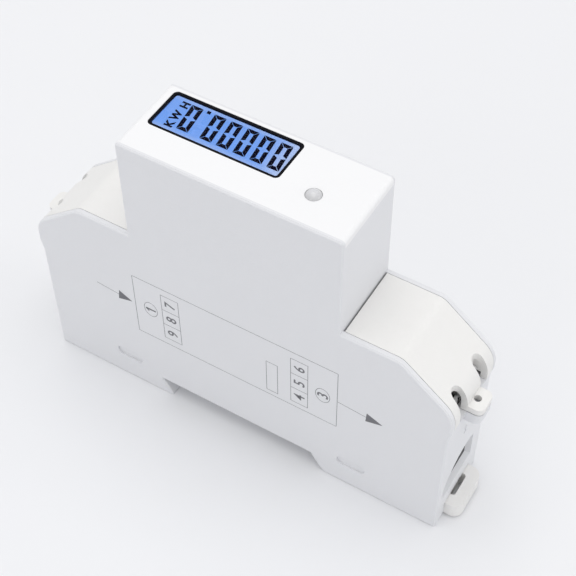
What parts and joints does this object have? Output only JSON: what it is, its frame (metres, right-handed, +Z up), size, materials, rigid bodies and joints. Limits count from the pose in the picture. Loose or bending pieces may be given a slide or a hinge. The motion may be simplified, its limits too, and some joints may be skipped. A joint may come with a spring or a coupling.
{
  "type": "din rail energy meter",
  "caption": "Slim one-module DIN rail energy meter with a raised display hump, sealable terminal covers, cage terminals and a sliding rail clip.",
  "frame": {"origin": "centre of the base on the surface that the meter lies on", "axes": "+X along the meter to the load end, +Y across the module to the far wall, +Z up through the display"},
  "size_m": [0.098, 0.018, 0.0725],
  "materials": {
    "case_plastic": "fine spark-eroded light grey thermoplastic",
    "cap_plastic": "smooth white thermoplastic",
    "cover_plastic": "fine textured warm light grey thermoplastic",
    "clip_plastic": "fine textured light grey thermoplastic",
    "black_frame": "glossy black frame",
    "clear_window": "clear polished sheet",
    "blue_glass": "back-lit blue liquid crystal glass",
    "light_guide": "milky light guide",
    "board_laminate": "green solder-masked laminate",
    "lamp_lens": "translucent domed lens",
    "black_moulding": "black moulded insulation",
    "capacitor_box": "yellow capacitor box",
    "capacitor_sleeve": "shrink sleeve",
    "varistor_coat": "dipped coating",
    "ferrite": "sintered ferrite",
    "shunt_alloy": "resistance alloy strip",
    "copper": "copper bar",
    "steel": "zinc-plated steel",
    "plated_steel": "bright plated steel cage"
  },
  "bodies": {
    "case": {"near_case_cover": "case_plastic", "far_case_body": "case_plastic", "front_cap": "cap_plastic", "display_bezel": "black_frame", "display_window": "clear_window", "lcd_panel": "blue_glass", "lcd_backlight": "light_guide", "display_board": "board_laminate", "pulse_lamp": "lamp_lens", "main_board": "board_laminate", "board_header": "black_moulding", "film_capacitor": "capacitor_box", "electrolytic_capacitor": "capacitor_sleeve", "varistor": "varistor_coat", "metering_chip": "black_moulding", "microcontroller": "black_moulding", "optocouplers": "black_moulding", "crystal": "steel", "supply_inductor": "ferrite", "current_shunt": "shunt_alloy", "sense_pins": "copper", "left_current_bar": "copper", "right_current_bar": "copper", "left_aux_block": "black_moulding", "right_aux_block": "black_moulding", "left_aux_contacts": "copper", "right_aux_contacts": "copper"},
    "din_clip": {"din_clip": "clip_plastic"},
    "left_terminal_cover": {"left_terminal_cover": "cover_plastic"},
    "right_terminal_cover": {"right_terminal_cover": "cover_plastic"},
    "left_terminal_screw": {"left_terminal_screw": "steel"},
    "left_terminal_cage": {"left_terminal_cage": "plated_steel"},
    "right_terminal_screw": {"right_terminal_screw": "steel"},
    "right_terminal_cage": {"right_terminal_cage": "plated_steel"},
    "aux_screw_4": {"aux_screw_4": "steel"},
    "aux_cage_4": {"aux_cage_4": "plated_steel"},
    "aux_screw_5": {"aux_screw_5": "steel"},
    "aux_cage_5": {"aux_cage_5": "plated_steel"},
    "aux_screw_6": {"aux_screw_6": "steel"},
    "aux_cage_6": {"aux_cage_6": "plated_steel"},
    "aux_screw_7": {"aux_screw_7": "steel"},
    "aux_cage_7": {"aux_cage_7": "plated_steel"},
    "aux_screw_8": {"aux_screw_8": "steel"},
    "aux_cage_8": {"aux_cage_8": "plated_steel"},
    "aux_screw_9": {"aux_screw_9": "steel"},
    "aux_cage_9": {"aux_cage_9": "plated_steel"}
  },
  "joints": [
    {"name": "din_clip_slide", "type": "slide", "parent": "case", "child": "din_clip", "axis": [1, 0, 0], "range_m": [0, 0.004], "stiffness_N_per_m": 1500},
    {"name": "left_cover_lift", "type": "slide", "parent": "case", "child": "left_terminal_cover", "axis": [0, 0, 1], "range_m": [0, 0.02]},
    {"name": "right_cover_lift", "type": "slide", "parent": "case", "child": "right_terminal_cover", "axis": [0, 0, 1], "range_m": [0, 0.02]},
    {"name": "left_cage_rise", "type": "slide", "parent": "case", "child": "left_terminal_cage", "axis": [0, 0, 1], "range_m": [0, 0.003]},
    {"name": "left_screw_turn", "type": "hinge", "parent": "case", "child": "left_terminal_screw", "pos_m": [-0.031, -0.0002, 0.02], "axis": [0, 0, -1], "range_deg": [0, 1080]},
    {"name": "right_cage_rise", "type": "slide", "parent": "case", "child": "right_terminal_cage", "axis": [0, 0, 1], "range_m": [0, 0.003]},
    {"name": "right_screw_turn", "type": "hinge", "parent": "case", "child": "right_terminal_screw", "pos_m": [0.031, -0.0002, 0.02], "axis": [0, 0, -1], "range_deg": [0, 1080]},
    {"name": "aux_cage_4_rise", "type": "slide", "parent": "case", "child": "aux_cage_4", "axis": [0, 0, 1], "range_m": [0, 0.0012]},
    {"name": "aux_screw_4_turn", "type": "hinge", "parent": "case", "child": "aux_screw_4", "pos_m": [0.0395, -0.00413, 0.02], "axis": [0, 0, -1], "range_deg": [0, 1080]},
    {"name": "aux_cage_5_rise", "type": "slide", "parent": "case", "child": "aux_cage_5", "axis": [0, 0, 1], "range_m": [0, 0.0012]},
    {"name": "aux_screw_5_turn", "type": "hinge", "parent": "case", "child": "aux_screw_5", "pos_m": [0.0395, -0.00028, 0.02], "axis": [0, 0, -1], "range_deg": [0, 1080]},
    {"name": "aux_cage_6_rise", "type": "slide", "parent": "case", "child": "aux_cage_6", "axis": [0, 0, 1], "range_m": [0, 0.0012]},
    {"name": "aux_screw_6_turn", "type": "hinge", "parent": "case", "child": "aux_screw_6", "pos_m": [0.0395, 0.00357, 0.02], "axis": [0, 0, -1], "range_deg": [0, 1080]},
    {"name": "aux_cage_7_rise", "type": "slide", "parent": "case", "child": "aux_cage_7", "axis": [0, 0, 1], "range_m": [0, 0.0012]},
    {"name": "aux_screw_7_turn", "type": "hinge", "parent": "case", "child": "aux_screw_7", "pos_m": [-0.0395, 0.00413, 0.02], "axis": [0, 0, -1], "range_deg": [0, 1080]},
    {"name": "aux_cage_8_rise", "type": "slide", "parent": "case", "child": "aux_cage_8", "axis": [0, 0, 1], "range_m": [0, 0.0012]},
    {"name": "aux_screw_8_turn", "type": "hinge", "parent": "case", "child": "aux_screw_8", "pos_m": [-0.0395, 0.00028, 0.02], "axis": [0, 0, -1], "range_deg": [0, 1080]},
    {"name": "aux_cage_9_rise", "type": "slide", "parent": "case", "child": "aux_cage_9", "axis": [0, 0, 1], "range_m": [0, 0.0012]},
    {"name": "aux_screw_9_turn", "type": "hinge", "parent": "case", "child": "aux_screw_9", "pos_m": [-0.0395, -0.00357, 0.02], "axis": [0, 0, -1], "range_deg": [0, 1080]}
  ],
  "couplings": [
    {"joint": "left_screw_turn", "follows": "left_cage_rise", "rad_per_m": 6283.2},
    {"joint": "right_screw_turn", "follows": "right_cage_rise", "rad_per_m": 6283.2},
    {"joint": "aux_screw_4_turn", "follows": "aux_cage_4_rise", "rad_per_m": 15708},
    {"joint": "aux_screw_5_turn", "follows": "aux_cage_5_rise", "rad_per_m": 15708},
    {"joint": "aux_screw_6_turn", "follows": "aux_cage_6_rise", "rad_per_m": 15708},
    {"joint": "aux_screw_7_turn", "follows": "aux_cage_7_rise", "rad_per_m": 15708},
    {"joint": "aux_screw_8_turn", "follows": "aux_cage_8_rise", "rad_per_m": 15708},
    {"joint": "aux_screw_9_turn", "follows": "aux_cage_9_rise", "rad_per_m": 15708}
  ]
}
